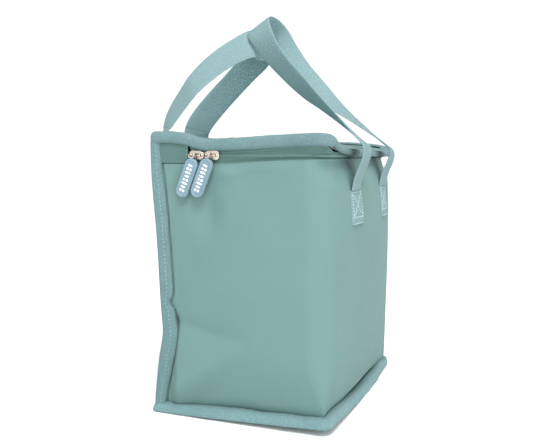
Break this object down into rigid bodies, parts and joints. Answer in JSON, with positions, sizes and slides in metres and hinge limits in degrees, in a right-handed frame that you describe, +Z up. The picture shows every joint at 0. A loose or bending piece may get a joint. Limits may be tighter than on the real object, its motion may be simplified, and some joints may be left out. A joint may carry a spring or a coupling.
{
  "type": "insulated lunch bag",
  "caption": "Upright soft insulated lunch bag with a zipped flap lid, bound seams, rubber zipper pulls and two webbing carry handles.",
  "frame": {"origin": "centre of the base rectangle, on the surface that the bag stands on", "axes": "+Z up; +X along the wide faces; the front face looks to -Y and the lid is hinged at the back, towards +Y"},
  "size_m": [0.2078, 0.1807, 0.3279],
  "materials": {
    "shell_fabric": "plain weave polyester, soft matt",
    "base_fabric": "plain weave polyester, matt",
    "foam": "closed-cell foam, matt",
    "lining": "heat-sealed foil laminate, soft gloss",
    "binding_tape": "twill tape, matt",
    "zipper_tape": "herringbone zipper tape, matt",
    "zipper_coil": "nylon coil, satin",
    "zipper_metal": "nickel plated, satin",
    "pull_rubber": "soft matt",
    "webbing": "ribbed webbing, matt"
  },
  "bodies": {
    "bag": {"back_foam": "foam", "back_lining": "lining", "back_panel": "shell_fabric", "back_strap_end_left": "webbing", "back_strap_end_right": "webbing", "base_binding": "binding_tape", "base_foam": "foam", "base_lining": "lining", "base_panel": "base_fabric", "corner_binding_left": "binding_tape", "corner_binding_right": "binding_tape", "front_strap_end_left": "webbing", "front_strap_end_right": "webbing", "rear_binding": "binding_tape", "rear_strip_foam": "foam", "rear_strip_lining": "lining", "rear_strip_panel": "shell_fabric", "wrap_foam": "foam", "wrap_lining": "lining", "wrap_panel": "shell_fabric", "zipper_coil_lower": "zipper_coil", "zipper_coil_parked": "zipper_coil", "zipper_stop_left": "zipper_metal", "zipper_stop_right": "zipper_metal", "zipper_tab_left": "shell_fabric", "zipper_tab_right": "shell_fabric", "zipper_tape_lower": "zipper_tape", "zipper_tape_parked": "zipper_tape"},
    "lid": {"lid_panel": "shell_fabric", "lid_foam": "foam", "lid_lining": "lining", "lid_binding": "binding_tape", "zipper_tape_upper": "zipper_tape", "zipper_coil_upper": "zipper_coil"},
    "front_feet": {"front_strap_foot_left": "webbing", "front_strap_foot_right": "webbing"},
    "back_feet": {"back_strap_foot_left": "webbing", "back_strap_foot_right": "webbing"},
    "front_loop": {"front_handle_loop": "webbing"},
    "back_loop": {"back_handle_loop": "webbing"},
    "slider_rear": {"slider_rear": "zipper_metal"},
    "slider_front": {"slider_front": "zipper_metal"},
    "pull_rear": {"pull_link_rear": "zipper_metal", "pull_grip_rear": "pull_rubber"},
    "pull_front": {"pull_link_front": "zipper_metal", "pull_grip_front": "pull_rubber"}
  },
  "joints": [
    {"name": "lid_hinge", "type": "hinge", "parent": "bag", "child": "lid", "pos_m": [0, 0.0395, 0.2212], "axis": [-1, 0, 0], "range_deg": [0, 110]},
    {"name": "front_feet_swing", "type": "hinge", "parent": "bag", "child": "front_feet", "pos_m": [0, -0.076, 0.184], "axis": [1, 0, 0], "range_deg": [0, 150]},
    {"name": "back_feet_swing", "type": "hinge", "parent": "bag", "child": "back_feet", "pos_m": [0, 0.076, 0.184], "axis": [-1, 0, 0], "range_deg": [0, 150]},
    {"name": "front_loop_swing", "type": "hinge", "parent": "front_feet", "child": "front_loop", "pos_m": [0, -0.088, 0.226], "axis": [1, 0, 0], "range_deg": [0, 75]},
    {"name": "back_loop_swing", "type": "hinge", "parent": "back_feet", "child": "back_loop", "pos_m": [0, 0.092, 0.226], "axis": [-1, 0, 0], "range_deg": [0, 55]},
    {"name": "slider_rear_slide", "type": "slide", "parent": "bag", "child": "slider_rear", "axis": [0, -1, 0], "range_m": [0, 0.026]},
    {"name": "slider_front_slide", "type": "slide", "parent": "slider_rear", "child": "slider_front", "axis": [0, -1, 0], "range_m": [0, 0.038]},
    {"name": "pull_rear_lift", "type": "hinge", "parent": "slider_rear", "child": "pull_rear", "pos_m": [-0.1041, 0.033, 0.2066], "axis": [0, 0.9272, 0.3746], "range_deg": [0, 120]},
    {"name": "pull_front_lift", "type": "hinge", "parent": "slider_front", "child": "pull_front", "pos_m": [-0.1041, 0.0202, 0.2066], "axis": [0, 0.9272, 0.3746], "range_deg": [0, 120]}
  ],
  "couplings": [
    {"joint": "front_feet_swing", "follows": "lid_hinge", "ratio": 1.36},
    {"joint": "back_feet_swing", "follows": "lid_hinge", "ratio": 1.36}
  ]
}
